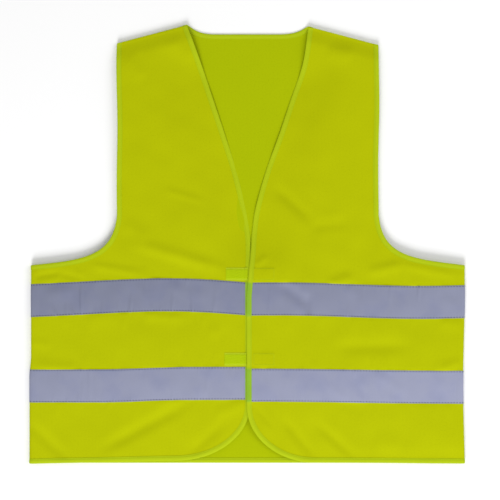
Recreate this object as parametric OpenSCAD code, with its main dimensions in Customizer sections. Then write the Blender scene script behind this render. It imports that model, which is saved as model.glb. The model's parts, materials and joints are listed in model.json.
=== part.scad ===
// Sleeveless high visibility waistcoat, laid flat on its back with its fronts closed.
// +X is the wearer's left, +Y runs from the hem to the neck and +Z is up, out of the chest.
// The origin is on the surface that it lies on, under the middle of the garment.
// Each front is one piece of cloth that folds open along a lapel line, so its cloth, edge
// binding and reflective bands are drawn whole and then parted along that line.

/* [Garment] */
// Width across the side folds
vest_w = 666; // [620:2:700]
// Length from the hem to the points of the neck
vest_l = 671; // [640:1:700]
// Width across the shoulders, armhole to armhole
shoulder_w = 398; // [370:2:420]
// How far the shoulder tip drops below the neck point
shoulder_drop = 29; // [20:1:40]
// Height of the underarm above the hem
underarm_h = 302; // [290:1:320]
// Clear height between the back and the fronts as they lie
loft = 8.1; // [7:0.1:12]

/* [Neck and front opening] */
// Width between the two neck points
neck_w = 187; // [160:1:200]
// How far the back neck edge drops below the neck points
back_neck_drop = 14; // [10:1:24]
// Height above the hem where the slanted neck edges become the straight front edges
v_foot_h = 306; // [290:1:330]
// Radius of the rounded lower corner of each front
corner_r = 75; // [50:1:90]
// Gap between the two closed fronts
front_gap = 0.4; // [0.4:0.1:4]

/* [Lapel fold] */
// Share of the neck edge above the fold
lapel_top = 0.09; // [0.08:0.01:0.12]
// Distance of the fold from the centre line at the hem
lapel_hem_x = 240; // [200:5:260]
// Width of the gap that parts a front along its fold
lapel_gap = 0.4; // [0.3:0.1:1]

/* [Cloth and tape] */
// Thickness of the knitted cloth
cloth_t = 0.5; // [0.4:0.1:0.8]
// Thickness of the reflective tape
tape_t = 0.4; // [0.4:0.1:0.6]
// Width of the reflective tape
tape_w = 50; // [50:1:60]
// Height of the upper band's middle above the hem
upper_band_h = 250; // [240:1:260]
// Height of the lower band's middle above the hem
lower_band_h = 118.5; // [100:0.5:130]
// Finished width of the edge binding
binding_w = 8; // [6:0.5:10]
// Thickness of one layer of the binding
binding_t = 0.3; // [0.2:0.05:0.4]

/* [Closure] */
// Length of each hook or loop patch beside the binding
patch_l = 26; // [20:1:40]
// Width of the hook and loop tape
patch_w = 20; // [16:1:25]
// Thickness of a loop patch
loop_t = 1.0; // [0.6:0.1:1.4]
// Thickness of a hook patch
hook_t = 0.8; // [0.6:0.1:1]
// Height of the upper patch's middle above the hem
upper_patch_h = 289; // [287:1:292]
// Height of the lower patch's middle above the hem
lower_patch_h = 159.5; // [156:0.5:165]

/* [Sewing] */
// Width of a row of stitching
thread_w = 0.5; // [0.3:0.1:0.8]
// Height of a row of stitching
thread_t = 0.2; // [0.1:0.05:0.3]
// Distance of a row of stitching from the edge that it holds
row_inset = 2; // [1.5:0.5:4]
// Width of an overlocked seam allowance
seam_w = 8; // [6:0.5:12]
// Thickness of an overlocked seam allowance
seam_t = 0.7; // [0.5:0.1:1]

/* [Care label] */
// Length of the label, from its seam to its free edge
label_l = 38; // [30:1:45]
// Width of the label along the side seam
label_w = 46; // [35:1:60]
// Thickness of the label
label_t = 0.3; // [0.2:0.05:0.4]
// Height of the label's lower edge above the hem
label_h = 28; // [20:1:36]

/* [Hidden] */
$fn = 64;

// Heights of the layers, from the surface up.
back_z = tape_t;
front_z = back_z + cloth_t + loft;
fold_r = (front_z + cloth_t - back_z) / 2;
mid_z = back_z + fold_r;
face_z = front_z + cloth_t;

// Places across and along the garment.
hem_y = -vest_l / 2 + binding_t;
neck_x = neck_w / 2;
tip_x = shoulder_w / 2;
side_x = vest_w / 2 - fold_r - tape_t;
edge_x = front_gap / 2 + binding_t;
underarm_y = hem_y + underarm_h;
upper_band_y = hem_y + upper_band_h;
lower_band_y = hem_y + lower_band_h;
band_x = edge_x + binding_w + 0.1;
row_offset = tape_w / 2 - row_inset;
band_row_z = face_z + tape_t - thread_t;

// The shoulder line falls from the neck point to the tip. Its fold has the same radius as the side.
shoulder_a = atan(shoulder_drop / (tip_x - neck_x));
fold_dy = fold_r / cos(shoulder_a);
function shoulder_y(x) = vest_l / 2 - binding_t - shoulder_drop * (x - neck_x) / (tip_x - neck_x) - fold_dy;
// The flat layers stop a little short of it, inside the fold's straight run.
lap = 0.5;
function flat_end_y(x) = shoulder_y(x) - lap;

// Room that is larger than the garment on every side, for cutting it.
room = 800;

// One point of a cubic curve with the four control points p, and a run of such points.
function cubic(p, t) =
    p[0] * pow(1 - t, 3) + p[1] * 3 * t * pow(1 - t, 2) + p[2] * 3 * t * t * (1 - t) + p[3] * pow(t, 3);
function curve(p, steps = 16) = [for (i = [0:steps]) cubic(p, i / steps)];
// Points of an arc about centre c.
function arc(c, r, from, to, steps = 14) =
    [for (i = [0:steps]) let (a = from + (to - from) * i / steps) c + r * [cos(a), sin(a)]];
function reversed(p) = [for (i = [len(p) - 1:-1:0]) p[i]];
function mirrored(p) = [for (q = p) [-q[0], q[1]]];
function unit(v) = v / norm(v);
// The way that a path runs at point i, and the path moved d to the left of that way.
function heading(p, i) = unit(p[min(i + 1, len(p) - 1)] - p[max(i - 1, 0)]);
function shifted(p, d) = [for (i = [0:len(p) - 1]) let (h = heading(p, i)) p[i] + d * [-h[1], h[0]]];

// Outlines of the wearer's left half, each with its cloth on the left of the way it runs.
v_controls = [[neck_x, flat_end_y(neck_x)], [neck_x - 27.5, 240], [edge_x, 80], [edge_x, hem_y + v_foot_h]];
v_edge = curve(v_controls, 22);
front_corner = arc([edge_x + corner_r, hem_y + corner_r], corner_r, 180, 270);
front_edge = concat(v_edge, front_corner, [[side_x, hem_y]]);
armhole_edge = concat(
    curve([[side_x, underarm_y], [side_x - 78, underarm_y], [tip_x + 3, underarm_y + 18],
        [tip_x, underarm_y + 79]]),
    [[tip_x, flat_end_y(tip_x)]]);
back_neck_y = vest_l / 2 - back_neck_drop;
back_neck_half = concat(
    curve([[neck_x, flat_end_y(neck_x)], [neck_x - 16, back_neck_y + 1], [neck_x - 30, back_neck_y],
        [neck_x - 50, back_neck_y]], 10),
    [[0, back_neck_y]]);
back_neck_edge = concat(back_neck_half, reversed(mirrored([for (q = back_neck_half) if (q[0] > 0) q])));

// Ends of the lapel fold on the left front.
lapel_p = cubic(v_controls, lapel_top);
lapel_h = [lapel_hem_x, hem_y];

module slab(z, t) {
    translate([0, 0, z]) linear_extrude(t) children();
}

// A plain box from its lowest to its highest corner.
module box(low, high) {
    translate(low) cube(high - low);
}

// Draws its children for the wearer's left, or mirrored for the right.
module for_side(right) {
    if (right) mirror([1, 0, 0]) children();
    else children();
}

// Keeps what lies on the flap's side of the lapel fold, or on the armhole's side.
module lapel_space(flap) {
    way = unit(lapel_p - lapel_h);
    translate([lapel_h[0], lapel_h[1], 0])
        rotate([0, 0, atan2(way[1], way[0])])
            translate([-room / 2, flap ? lapel_gap / 2 : -room - lapel_gap / 2, -10])
                cube([2 * room, room, 50]);
}

module parted(flap) {
    intersection() {
        children();
        lapel_space(flap);
    }
}

// A quarter of a ring, r0 to r1, that closes half of the fold between the back and a front.
// It has a short straight run into the flat layer that it carries on.
module fold_section(r0, r1, upper) {
    quarter = concat([[-2 * lap, r1]], arc([0, 0], r1, 90, 0, 8), arc([0, 0], r0, 0, 90, 8), [[-2 * lap, r0]]);
    polygon([for (q = quarter) [q[0], upper ? q[1] : -q[1]]]);
}

// The fold down the left side, from y0 up to y1.
module side_fold(r0, r1, upper, y0, y1) {
    translate([side_x, y1, mid_z]) rotate([90, 0, 0]) linear_extrude(y1 - y0) fold_section(r0, r1, upper);
}

// The fold over the left shoulder, cut square to X from x0 out to x1. It is a hair thinner than the
// flat layers, so that its slanted faces never quite meet theirs.
shoulder_trim = 0.02;
module shoulder_fold(r0, r1, upper, x0, x1) {
    intersection() {
        translate([neck_x, shoulder_y(neck_x), mid_z])
            rotate([0, 0, -shoulder_a])
                translate([-20, 0, 0])
                    rotate([90, 0, 90]) linear_extrude(tip_x)
                        fold_section(r0 + shoulder_trim, r1 - shoulder_trim, upper);
        box([x0, 0, -10], [x1, room, 50]);
    }
}

// The two folds of one half, as the cloth makes them.
module cloth_folds(upper) {
    side_fold(fold_r - cloth_t, fold_r, upper, hem_y, underarm_y);
    shoulder_fold(fold_r - cloth_t, fold_r, upper, neck_x, tip_x);
}

module back_cloth() {
    half = concat([[side_x, hem_y]], armhole_edge, back_neck_half);
    slab(back_z, cloth_t) polygon(concat(half, reversed(mirrored(half))));
    for (right = [false, true]) for_side(right) cloth_folds(false);
}

module front_cloth() {
    slab(front_z, cloth_t)
        polygon(concat(front_edge, armhole_edge));
    cloth_folds(true);
}

// Binding folded over the edge of a flat layer of cloth whose underside is at z.
module edge_strip(path, z) {
    slab(z - binding_t, cloth_t + 2 * binding_t)
        polygon(concat(shifted(path, -binding_t), reversed(shifted(path, binding_w))));
}

module front_edge_strip() {
    difference() {
        edge_strip(front_edge, front_z);
        front_cloth();
    }
}

// Binding where it runs over the fold at the neck point, the shoulder tip, the underarm and the hem.
module neck_fold_binding(upper) {
    shoulder_fold(fold_r - cloth_t - binding_t, fold_r + binding_t, upper,
        neck_x - binding_t, neck_x + binding_w);
}

module tip_fold_binding(upper) {
    shoulder_fold(fold_r - cloth_t - binding_t, fold_r + binding_t, upper,
        tip_x - binding_w, tip_x + binding_t);
}

module underarm_fold_binding(upper) {
    side_fold(fold_r - cloth_t - binding_t, fold_r + binding_t, upper,
        underarm_y - binding_w, underarm_y + binding_t);
}

module hem_fold_binding(upper) {
    side_fold(fold_r - cloth_t - binding_t, fold_r + binding_t, upper,
        hem_y - binding_t, hem_y + binding_w);
}

module back_panel() {
    color("#c3cc00") back_cloth();
}

module front_side_panel(right) {
    color("#c3cc00") for_side(right) parted(false) front_cloth();
}

module front_panel(right) {
    color("#c3cc00") for_side(right) parted(true) front_cloth();
}

module neck_binding() {
    color("#bede28") {
        difference() {
            union() {
                edge_strip(back_neck_edge, back_z);
                for (right = [false, true]) for_side(right) neck_fold_binding(false);
            }
            back_cloth();
        }
        for (right = [false, true]) for_side(right) difference() {
            union() {
                neck_fold_binding(true);
                intersection() {
                    parted(false) edge_strip(front_edge, front_z);
                    box([0, 0, 0], [room, room, 50]);
                }
            }
            front_cloth();
        }
    }
}

module hem_binding_back() {
    color("#bede28") difference() {
        union() {
            edge_strip([[-side_x, hem_y], [side_x, hem_y]], back_z);
            for (right = [false, true]) for_side(right) hem_fold_binding(false);
        }
        back_cloth();
    }
}

module hem_binding_front(right) {
    color("#bede28") for_side(right) difference() {
        union() {
            hem_fold_binding(true);
            intersection() {
                parted(false) edge_strip(front_edge, front_z);
                box([0, -room, 0], [room, 0, 50]);
            }
        }
        front_cloth();
    }
}

module front_edge_binding(right) {
    color("#bede28") for_side(right) parted(true) front_edge_strip();
}

module armhole_binding_front(right) {
    color("#bede28") for_side(right) difference() {
        union() {
            edge_strip(armhole_edge, front_z);
            tip_fold_binding(true);
            underarm_fold_binding(true);
        }
        front_cloth();
    }
}

module armhole_binding_back(right) {
    color("#bede28") for_side(right) difference() {
        union() {
            edge_strip(armhole_edge, back_z);
            tip_fold_binding(false);
            underarm_fold_binding(false);
        }
        back_cloth();
    }
}

// The two rows of stitching that hold the band at y, from x0 to x1, sunk into its outer face.
module band_rows(x0, x1, y, low_z) {
    for (s = [-1, 1]) {
        row_y = y + s * row_offset;
        box([x0, row_y - thread_w / 2, low_z], [x1, row_y + thread_w / 2, low_z + thread_t]);
    }
}

// One band as it goes round the garment, on the back and then on the left front.
module band_back(y) {
    color("#9a9fb8") difference() {
        union() {
            box([-side_x, y - tape_w / 2, 0], [side_x, y + tape_w / 2, tape_t]);
            for (right = [false, true]) for_side(right)
                side_fold(fold_r, fold_r + tape_t, false, y - tape_w / 2, y + tape_w / 2);
        }
        band_rows(-side_x, side_x, y, 0);
    }
}

module band_front_whole(y) {
    difference() {
        union() {
            box([band_x, y - tape_w / 2, face_z], [side_x, y + tape_w / 2, face_z + tape_t]);
            side_fold(fold_r, fold_r + tape_t, true, y - tape_w / 2, y + tape_w / 2);
        }
        band_rows(band_x, side_x, y, band_row_z);
    }
}

module band_front(right, flap, y) {
    color("#9a9fb8") for_side(right) parted(flap) band_front_whole(y);
}

module band_stitching(right, flap) {
    color("#5f6480") for_side(right) parted(flap)
        for (y = [upper_band_y, lower_band_y]) band_rows(band_x, side_x, y, band_row_z);
}

module back_band_stitching() {
    color("#5f6480") for (y = [upper_band_y, lower_band_y]) band_rows(-side_x, side_x, y, 0);
}

// A patch of hook or loop tape beside the left front's binding, its middle h above the hem.
module patch(h, z, t) {
    box([band_x, hem_y + h - patch_w / 2, z], [band_x + patch_l, hem_y + h + patch_w / 2, z + t]);
}

module loop_patch(h) {
    color("#b8d820") for_side(true) patch(h, face_z, loop_t);
}

module hook_patch(h) {
    color("#b8d820") patch(h, front_z - hook_t, hook_t);
}

// The box of stitching round a patch, laid on the surface at z.
module patch_row(h, z) {
    inset = 1.2;
    middle = [band_x + patch_l / 2, hem_y + h];
    size = [patch_l - 2 * inset, patch_w - 2 * inset];
    slab(z, thread_t) translate(middle) difference() {
        square(size, center = true);
        square(size - 2 * thread_w * [1, 1], center = true);
    }
}

module loop_patch_stitching() {
    color("#a9c71e") for (h = [upper_patch_h, lower_patch_h]) for_side(true) patch_row(h, face_z + loop_t);
}

module hook_patch_stitching() {
    color("#a9c71e") for (h = [upper_patch_h, lower_patch_h]) patch_row(h, face_z);
}

// Overlocked allowances, turned towards the fronts inside the side and shoulder folds.
module side_seam(right) {
    clear = binding_w + 1;
    color("#b4be00") for_side(right)
        box([side_x - seam_w, hem_y + clear, front_z - seam_t],
            [side_x, underarm_y - clear, front_z]);
}

module shoulder_seam(right) {
    clear = binding_w + 1;
    color("#b4be00") for_side(right) intersection() {
        slab(front_z - seam_t, seam_t) polygon([
            [neck_x, shoulder_y(neck_x)], [neck_x, shoulder_y(neck_x) - seam_w],
            [tip_x, shoulder_y(tip_x) - seam_w], [tip_x, shoulder_y(tip_x)]]);
        box([neck_x + clear, 0, 0], [tip_x - clear, room, 50]);
    }
}

// Sewn by one end under the left side seam's allowance, with its free end inside the front.
module care_label() {
    x = side_x - 3;
    z = front_z - seam_t - label_t;
    color("white") box([x - label_l, hem_y + label_h, z], [x, hem_y + label_h + label_w, z + label_t]);
}

back_panel();
front_side_panel(true);  // right_front_side_panel
front_side_panel(false);  // left_front_side_panel
front_panel(true);  // right_front_panel
front_panel(false);  // left_front_panel
neck_binding();
hem_binding_back();
hem_binding_front(true);  // right_hem_binding_front
hem_binding_front(false);  // left_hem_binding_front
front_edge_binding(true);  // right_front_edge_binding
front_edge_binding(false);  // left_front_edge_binding
armhole_binding_front(true);  // right_armhole_binding_front
armhole_binding_front(false);  // left_armhole_binding_front
armhole_binding_back(true);  // right_armhole_binding_back
armhole_binding_back(false);  // left_armhole_binding_back
band_back(upper_band_y);  // upper_band_back
band_back(lower_band_y);  // lower_band_back
band_front(true, false, upper_band_y);  // right_upper_band_side
band_front(false, false, upper_band_y);  // left_upper_band_side
band_front(true, false, lower_band_y);  // right_lower_band_side
band_front(false, false, lower_band_y);  // left_lower_band_side
band_front(true, true, upper_band_y);  // right_upper_band_front
band_front(false, true, upper_band_y);  // left_upper_band_front
band_front(true, true, lower_band_y);  // right_lower_band_front
band_front(false, true, lower_band_y);  // left_lower_band_front
loop_patch(upper_patch_h);  // upper_loop_patch
loop_patch(lower_patch_h);  // lower_loop_patch
hook_patch(upper_patch_h);  // upper_hook_patch
hook_patch(lower_patch_h);  // lower_hook_patch
side_seam(true);  // right_side_seam
side_seam(false);  // left_side_seam
shoulder_seam(true);  // right_shoulder_seam
shoulder_seam(false);  // left_shoulder_seam
back_band_stitching();
band_stitching(true, false);  // right_side_band_stitching
band_stitching(false, false);  // left_side_band_stitching
band_stitching(true, true);  // right_front_band_stitching
band_stitching(false, true);  // left_front_band_stitching
loop_patch_stitching();
hook_patch_stitching();
care_label();
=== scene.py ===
import json

import bpy
import numpy as np
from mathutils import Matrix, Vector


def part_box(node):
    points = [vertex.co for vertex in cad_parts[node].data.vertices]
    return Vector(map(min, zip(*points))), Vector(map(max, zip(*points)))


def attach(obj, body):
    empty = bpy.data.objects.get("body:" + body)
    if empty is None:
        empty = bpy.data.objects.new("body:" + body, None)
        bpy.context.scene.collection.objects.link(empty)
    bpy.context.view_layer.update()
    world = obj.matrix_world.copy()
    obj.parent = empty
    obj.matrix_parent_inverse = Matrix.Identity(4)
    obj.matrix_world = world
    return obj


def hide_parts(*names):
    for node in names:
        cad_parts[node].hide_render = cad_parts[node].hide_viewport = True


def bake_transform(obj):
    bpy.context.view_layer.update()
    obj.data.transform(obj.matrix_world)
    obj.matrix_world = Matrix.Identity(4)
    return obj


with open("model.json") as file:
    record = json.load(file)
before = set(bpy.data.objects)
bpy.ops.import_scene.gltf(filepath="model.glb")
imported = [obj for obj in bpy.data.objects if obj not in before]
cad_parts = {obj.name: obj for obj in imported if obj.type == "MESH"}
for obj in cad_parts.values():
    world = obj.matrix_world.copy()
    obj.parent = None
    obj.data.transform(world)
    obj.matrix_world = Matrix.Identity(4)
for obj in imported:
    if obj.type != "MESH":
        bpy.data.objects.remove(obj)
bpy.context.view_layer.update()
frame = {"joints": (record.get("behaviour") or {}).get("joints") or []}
mm = 0.001


# The studio: a plain pale floor, a large soft light and a weaker one, and a camera straight above
# the vest, as it lies on its back.
camera_height = 1.812
view_centre = (0.0038, -0.0092)
floor_half = 12.0
floor_z = -0.35 * mm

floor_mesh = bpy.data.meshes.new("floor")
floor_mesh.from_pydata(
    [(x * floor_half, y * floor_half, floor_z) for x, y in ((-1, -1), (1, -1), (1, 1), (-1, 1))],
    [], [(0, 1, 2, 3)])
floor = bpy.data.objects.new("floor", floor_mesh)
bpy.context.collection.objects.link(floor)


def new_material(name, roughness, sheen=0.0):
    """A new material and its main shader, with one roughness and one sheen all over. Dyed fibres
    barely mirror the room, so their specular level is low."""
    made = bpy.data.materials.new(name)
    made.use_nodes = True
    shader = made.node_tree.nodes["Principled BSDF"]
    shader.inputs["Roughness"].default_value = roughness
    shader.inputs["Sheen Weight"].default_value = sheen
    shader.inputs["Specular IOR Level"].default_value = 0.04
    return made, shader


paper, paper_shader = new_material("pale_floor", 0.9)
paper_shader.inputs["Base Color"].default_value = (0.97, 0.97, 0.97, 1)
floor_mesh.materials.append(paper)

world = bpy.data.worlds.new("studio")
world.use_nodes = True
world.node_tree.nodes["Background"].inputs["Color"].default_value = (1, 1, 1, 1)
world.node_tree.nodes["Background"].inputs["Strength"].default_value = 0.51
bpy.context.scene.world = world
bpy.context.scene.view_settings.view_transform = "Standard"


def soft_light(name, place, size, power):
    """A square area light at place, turned towards the vest."""
    lamp = bpy.data.lights.new(name, "AREA")
    lamp.size = size
    lamp.energy = power
    stand = bpy.data.objects.new(name, lamp)
    stand.location = place
    aim = np.array(place, float)
    stand.rotation_euler = (np.arctan2(np.hypot(aim[0], aim[1]), aim[2]), 0,
                            np.arctan2(aim[1], aim[0]) + np.pi / 2)
    bpy.context.collection.objects.link(stand)


soft_light("window", (-0.5, -3.9, 2.5), 2.1, 178)
soft_light("fill", (2.4, 0.4, 2.2), 2.0, 30)

camera = bpy.data.objects.new("camera", bpy.data.cameras.new("camera"))
camera.data.lens = 85
camera.location = (*view_centre, camera_height)
bpy.context.collection.objects.link(camera)
bpy.context.scene.camera = camera


# The cloth: one layer of yellow warp knit makes the back, and one each of the two fronts. A point
# of the cloth is (u, v) on the flat pattern, and lay() says where it lies: flat, or round the fold
# at the side or the shoulder, where the back and a front are sewn together.
cloth_t = 0.5 * mm
joints = {j["child"]: j for j in frame["joints"]}
back_low, back_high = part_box("back_panel")
front_low, front_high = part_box("left_front_panel")
armhole_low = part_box("left_armhole_binding_back")[0]
hem_y = back_low.y
outer_x = back_high.x
mid_z = back_high.z
back_z = back_low.z + cloth_t / 2
front_z = (front_low.z + front_high.z) / 2 - 0.7 * mm
cad_bind_w = 8 * mm
tip_x = armhole_low.x + cad_bind_w
underarm_y = armhole_low.y + cad_bind_w
fold_r = front_high.z - mid_z
fold_u = outer_x - fold_r
fold_len = fold_r * np.pi / 2
quarter = np.pi / 2
bind_w = 7.2 * mm
seam_w = 8 * mm

# The neck point and shoulder tip of each side; the left ones lie a little lower.
shoulders = {
    "right": np.array([[93.0, 335.0], [tip_x / mm, 307.0]]) * mm,
    "left": np.array([[93.5, 332.5], [tip_x / mm + 0.5, 304.5]]) * mm,
}
signs = {"right": -1.0, "left": 1.0}


def smooth(x, low, high):
    """0 up to low and 1 from high, with the cubic 3t^2 - 2t^3 between."""
    t = np.clip((x - low) / (high - low), 0, 1)
    return t * t * (3 - 2 * t)


def swell(u, v, seed, length):
    """A smooth random swell of about -1 to 1: a sum of cosines, their wavelengths near length."""
    draw = np.random.default_rng(seed)
    turn, phase = draw.uniform(0, np.pi, 16), draw.uniform(0, 2 * np.pi, 16)
    k = 2 * np.pi / (length * draw.uniform(0.7, 1.7, 16))
    wave = np.cos(k * (u[..., None] * np.cos(turn) + v[..., None] * np.sin(turn)) + phase)
    return wave.sum(-1) / 5


def creases(u, v, lines):
    """Soft creases x0, y0, x1, y1, width, height in mm. Across one, the height is h exp(-(d/w)^2)
    with a trough of a third of that on each side, and it fades out towards both ends."""
    x0, y0, x1, y1, w, h = (np.array(lines, float) * mm).T
    length = np.hypot(x1 - x0, y1 - y0)
    tx, ty = (x1 - x0) / length, (y1 - y0) / length
    du, dv = u[..., None] - x0, v[..., None] - y0
    along = (du * tx + dv * ty) / length
    across = (dv * tx - du * ty) / w
    bulge = np.exp(-across ** 2) - 0.33 * np.exp(-(across / 2.2) ** 2)
    fade = smooth(along, -0.12, 0.25) * (1 - smooth(along, 0.7, 1.12))
    return (h * 1.4 * bulge * fade).sum(-1)


# Heights of the middles of the reflective bands, right (u < 0) and left, as they have settled.
band_half = 25 * mm
upper_y = sum(c.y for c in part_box("upper_band_back")) / 2
lower_y = sum(c.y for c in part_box("lower_band_back")) / 2


def band_middle(u, band, side):
    """How far up a band's middle lies at u: the sewn line, which bows a few mm."""
    across = np.abs(u) / outer_x
    if band == "upper" and side == "right":
        bow = 6.2 * np.sin(np.pi * across) + 1.4 * np.sin(2 * np.pi * across)
        return upper_y + (1.1 + bow - 2.6 * across ** 2) * mm
    if band == "upper":
        bow = 0.85 * np.cos(2 * np.pi * (across - 0.29)) - 4.4 * np.sin(1.97 * across) ** 2
        return upper_y + (1.1 + bow) * mm
    if side == "right":
        return lower_y + (3.6 - 3.8 * smooth(across, 0.25, 0.7)) * mm
    return lower_y + (1.0 + 0.35 * np.sin(2 * np.pi * across) - 3.2 * across) * mm


# Folds and creases that the cloth keeps from being packed, where it is seen on each front.
cloth_creases = {
    "right": [(-178, 2, -34, -40, 10, 1.8), (-325, -50, -284, -43, 5, -1.0),
              (-240, -33, -158, -46, 7, 1.0), (-285, -45, -245, -56, 5, -0.8),
              (-126, 82, -66, 64, 6, 0.7), (-190, 30, -150, 8, 12, 1.2),
              (-184, 286, -160, 252, 14, 1.3), (-118, 312, -84, 282, 15, 1.2),
              (-336, -272, -276, -328, 9, -1.7), (-224, -314, -83, -239, 10, -2.1),
              (-88, -320, -34, -272, 9, -1.2), (-2, -243, -50, -262, 9, 1.0),
              (-160, -108, -92, -114, 8, 0.9), (-250, -122, -205, -108, 12, 0.7),
              (-330, -150, -300, -156, 8, 0.7), (-60, -132, -40, -136, 12, 0.9),
              (-330, -186, -260, -190, 9, 0.9)],
    "left": [(45, 86, 100, 34, 9, -1.7), (96, 26, 154, 33, 8, -1.2),
             (124, -62, 164, -50, 9, 1.6), (184, -44, 236, -32, 9, 1.6),
             (234, -32, 322, -49, 7, 1.1), (12, -34, 30, -18, 6, 0.8),
             (134, -158, 250, -155, 11, -1.4), (292, -120, 330, -122, 11, 1.1),
             (296, -190, 326, -180, 8, 1.1), (6, -244, 40, -280, 4, -0.7),
             (56, -268, 102, -326, 8, -1.4), (108, -276, 164, -326, 8, -1.5),
             (196, -300, 236, -306, 15, 1.0), (140, -240, 180, -256, 12, -0.8),
             (122, 294, 160, 286, 12, 1.2)],
}
tape_creases = {
    "right": [(-254, -62, -253, -112, 2.4, 1.3), (-299, -96, -290, -114, 2.4, 0.9),
              (-278, -94, -276, -114, 2.2, 0.8), (-270, -100, -262, -114, 2.2, 0.7),
              (-222, -92, -220, -111, 2.2, 0.7), (-199, -90, -197, -110, 2.2, 0.7),
              (-177, -80, -180, -109, 2.4, 0.9), (-146, -94, -144, -108, 2.0, 0.5),
              (-114, -78, -115, -108, 2.2, 0.8), (-85, -84, -84, -108, 2.2, 0.7),
              (-48, -70, -50, -104, 3.4, 0.7), (-310, -78, -262, -70, 9, 1.1),
              (-252, -214, -251, -238, 2.4, 0.6), (-242, -190, -240, -236, 3.0, 0.6),
              (-120, -66, -60, -84, 8, 0.8), (-60, -196, -64, -236, 3.4, 0.5),
              (-170, -62, -150, -84, 7, 0.7)],
    "left": [(50, -62, 94, -92, 9, -2.4), (90, -80, 93, -108, 7, -1.8),
             (34, -70, 35, -98, 2.6, 0.5), (218, -64, 218, -88, 2.4, 0.8),
             (262, -62, 261, -84, 2.2, 0.9), (296, -84, 320, -96, 9, 1.0),
             (152, -66, 166, -80, 7, 0.8), (196, -198, 240, -228, 6, 0.8),
             (160, -200, 176, -232, 6, -0.6), (120, -214, 150, -236, 6, 0.6),
             (60, -196, 62, -212, 2.6, 0.4)],
}


def puckers(side, seed, inward):
    """Short creases from each sewn edge of both bands, 14 to 34 mm apart: weak ones out over the
    cloth, and where inward is 1, narrower and sharper ones in over the tape."""
    draw, lines = np.random.default_rng(seed), []
    for band in ("upper", "lower"):
        for edge in (-1, 1):
            for x in np.cumsum(draw.uniform(14, 34, 13)):
                reach, lean = draw.uniform(12, 30) * (1 - 0.5 * inward), draw.uniform(-6, 6)
                u = signs[side] * (x + 8)
                v = (band_middle(u * mm, band, side) + edge * band_half) / mm
                width = draw.uniform(3.5, 6.5) * (1 - 0.55 * inward)
                height = draw.uniform(0.1, 0.4) * (1 + 0.3 * inward)
                lines.append((u, v - 2 * edge * (1 - inward), u + lean * (1 - 0.7 * inward),
                              v + edge * reach * (1 - 2 * inward), width, height))
    return lines


for side, seed in (("right", 5), ("left", 8)):
    cloth_creases[side] += puckers(side, seed, 0)
    tape_creases[side] += puckers(side, seed + 30, 1)


def band_cover(u, v, side):
    """1 on a reflective band and 0 off it, changing over 3 mm."""
    cover = 0 * u
    for band in ("upper", "lower"):
        off = np.abs(v - band_middle(u, band, side)) - band_half
        cover = np.maximum(cover, 1 - smooth(off, -1 * mm, 2 * mm))
    return cover


# Where the closure's patches lie: middle of each, measured on the right front's outside.
patch_w, patch_l = 19.4 * mm, 35 * mm
patch_y = {p: sum(c.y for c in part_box(p + "_loop_patch")) / 2 for p in ("upper", "lower")}
hook_u = 25 * mm


def front_height(u, v, side):
    """Height of a front's middle surface: its loft, a swell, its creases, and the closure's lap."""
    tape = band_cover(u, v, side)
    seed = {"right": 11, "left": 29}[side]
    soft = 0.75 * mm * swell(u, v, seed, 150 * mm) + 0.32 * mm * swell(u, v, seed + 1, 48 * mm)
    loose = soft + creases(u, v, cloth_creases[side])
    firm = 0.6 * soft + 0.28 * mm * swell(u, v, seed + 2, 30 * mm) + creases(u, v, tape_creases[side])
    z = front_z + (1 - tape) * loose + tape * firm
    inside = smooth(np.abs(u), fold_u - seam_w - 1 * mm, fold_u - seam_w + 1.5 * mm)
    z = z + 0.4 * mm * inside * (1 - smooth(v, underarm_y - 12 * mm, underarm_y - 6 * mm))
    neck, tip = shoulders[side]
    run = (tip - neck) / np.linalg.norm(tip - neck)
    below = -(signs[side] * u - neck[0]) * -run[1] - (v - neck[1]) * run[0]
    z = z - 3.4 * mm * (1 - smooth(below, 2 * mm, 26 * mm))
    from_edge = signs[side] * u - front_inner(side, v)
    open_neck = smooth(v, -50 * mm, 25 * mm) * (1 - smooth(v, 240 * mm, 325 * mm))
    deep = {"right": 5.7 * mm, "left": 6.4 * mm}[side]
    z = z - deep * (1 - smooth(from_edge, 0, 85 * mm)) * open_neck
    low_corner = (1 - smooth(v - hem_y, 0, 125 * mm)) * (1 - smooth(np.abs(u), 90 * mm, 260 * mm))
    z = z - 3.6 * mm * low_corner
    if side == "right":
        return z - 1.7 * mm * smooth(u, -58 * mm, -10 * mm)
    z = z - 1.6 * mm * (1 - smooth(v - hem_y, 4 * mm, 28 * mm)) * smooth(u, 90 * mm, 200 * mm)
    for middle in patch_y.values():
        proud = 1 - smooth(np.abs(u - hook_u) - patch_l / 2, -1.5 * mm, 1.5 * mm)
        proud = proud * (1 - smooth(np.abs(v - middle) - patch_w / 2, -1.5 * mm, 1.5 * mm))
        z = z + 0.5 * mm * proud
    return z + 0.4 * mm * (1 - smooth(u, 4 * mm, 40 * mm))


def back_height(u, v, side):
    """Height of the back's middle surface: it rests on the surface below and barely lifts."""
    lift = 0.5 + 0.5 * swell(u, v, 41, 120 * mm)
    return back_z + 0.35 * mm * np.clip(lift, 0, 1.4)


def side_edge(v, side):
    """Where the side fold's outermost line lies at height v."""
    if side == "right":
        return outer_x - (1.6 - 2.4 * smooth(-v, 0.17, 0.205)) * mm
    return outer_x - (1.6 - 1.3 * np.sin(np.clip(-v, 0, 1) * 22)) * mm


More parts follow.
